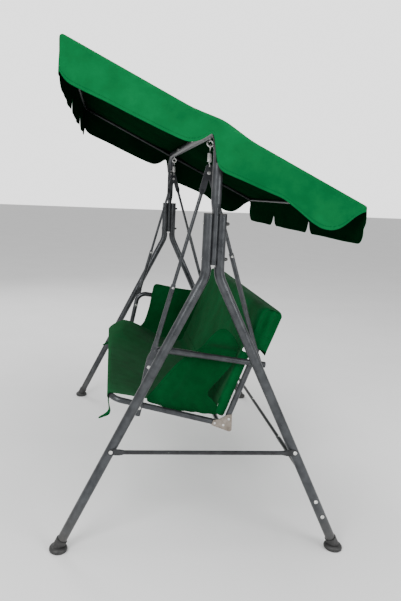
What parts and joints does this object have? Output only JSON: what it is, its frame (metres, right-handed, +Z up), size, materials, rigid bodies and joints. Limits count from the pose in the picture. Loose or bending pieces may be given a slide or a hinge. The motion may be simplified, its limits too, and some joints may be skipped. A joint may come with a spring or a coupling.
{
  "type": "canopy swing bench",
  "caption": "Sling swing bench hung on springs between two A-frames under a bent crossbeam, with a tilting fabric canopy.",
  "frame": {"origin": "centre of the foot rectangle, on the ground", "axes": "+X along the bench to its right end, -Y to the front of the bench, +Z up"},
  "size_m": [1.739, 1.1658, 1.9177],
  "materials": {
    "frame_paint": "grey hammered powder coat",
    "bar_paint": "darker grey powder coat",
    "zinc": "bright zinc plate",
    "plate_zinc": "dull passivated zinc",
    "black_plastic": "moulded black",
    "seat_fabric": "green woven polyester, hemmed",
    "trim_fabric": "green woven polyester, shaded side panels and straps",
    "canopy_fabric": "green woven polyester, thin and slightly translucent"
  },
  "bodies": {
    "frame": {"leg_front_right": "frame_paint", "leg_front_left": "frame_paint", "leg_rear_right": "frame_paint", "leg_rear_left": "frame_paint", "foot_caps": "black_plastic", "leg_caps": "black_plastic", "crossbeam_middle": "frame_paint", "crossbeam_end_right": "frame_paint", "crossbeam_end_left": "frame_paint", "crossbeam_bolts": "zinc", "yoke_bolts": "zinc", "yoke_nuts": "black_plastic", "crossbar_right": "bar_paint", "crossbar_left": "bar_paint", "crossbar_bolts": "zinc", "brace_end_right": "bar_paint", "brace_end_left": "bar_paint", "brace_mid_right": "bar_paint", "brace_mid_left": "bar_paint", "brace_bolts": "zinc", "canopy_brackets": "bar_paint", "bracket_bolts": "zinc", "eye_bolts": "zinc", "pivot_bolts": "zinc"},
    "suspension": {"springs": "zinc"},
    "seat": {"hanger_front_top_right": "frame_paint", "hanger_front_top_left": "frame_paint", "hanger_front_low_right": "frame_paint", "hanger_front_low_left": "frame_paint", "hanger_rear_top_right": "frame_paint", "hanger_rear_top_left": "frame_paint", "hanger_rear_low_right": "frame_paint", "hanger_rear_low_left": "frame_paint", "hanger_bolts": "zinc", "armrest_front_right": "frame_paint", "armrest_front_left": "frame_paint", "armrest_rear_right": "frame_paint", "armrest_rear_left": "frame_paint", "armrest_bolts": "zinc", "seat_side_right": "frame_paint", "seat_side_left": "frame_paint", "seat_front_tube": "frame_paint", "seat_rear_tube": "frame_paint", "corner_plates": "plate_zinc", "plate_bolts": "zinc", "back_side_right": "frame_paint", "back_side_left": "frame_paint", "back_top_tube": "frame_paint", "seat_cover": "seat_fabric", "back_cover": "seat_fabric", "side_panel_right": "trim_fabric", "side_panel_left": "trim_fabric", "tie_straps": "trim_fabric"},
    "canopy": {"canopy_side_right": "bar_paint", "canopy_side_left": "bar_paint", "canopy_front_tube": "bar_paint", "canopy_rear_tube": "bar_paint", "canopy_corners": "black_plastic", "canopy_cover": "canopy_fabric"}
  },
  "joints": [
    {"name": "seat_swing", "type": "hinge", "parent": "frame", "child": "suspension", "pos_m": [0, 0, 1.59095], "axis": [1, 0, 0], "range_deg": [-25, 25]},
    {"name": "seat_bounce", "type": "slide", "parent": "suspension", "child": "seat", "axis": [0, 0, 1], "range_m": [-0.035, 0], "stiffness_N_per_m": 40000, "springref_m": 0.0033, "deforming": ["springs"]},
    {"name": "canopy_tilt", "type": "hinge", "parent": "frame", "child": "canopy", "pos_m": [0, 0, 1.63], "axis": [1, 0, 0], "range_deg": [-4, 56]}
  ]
}
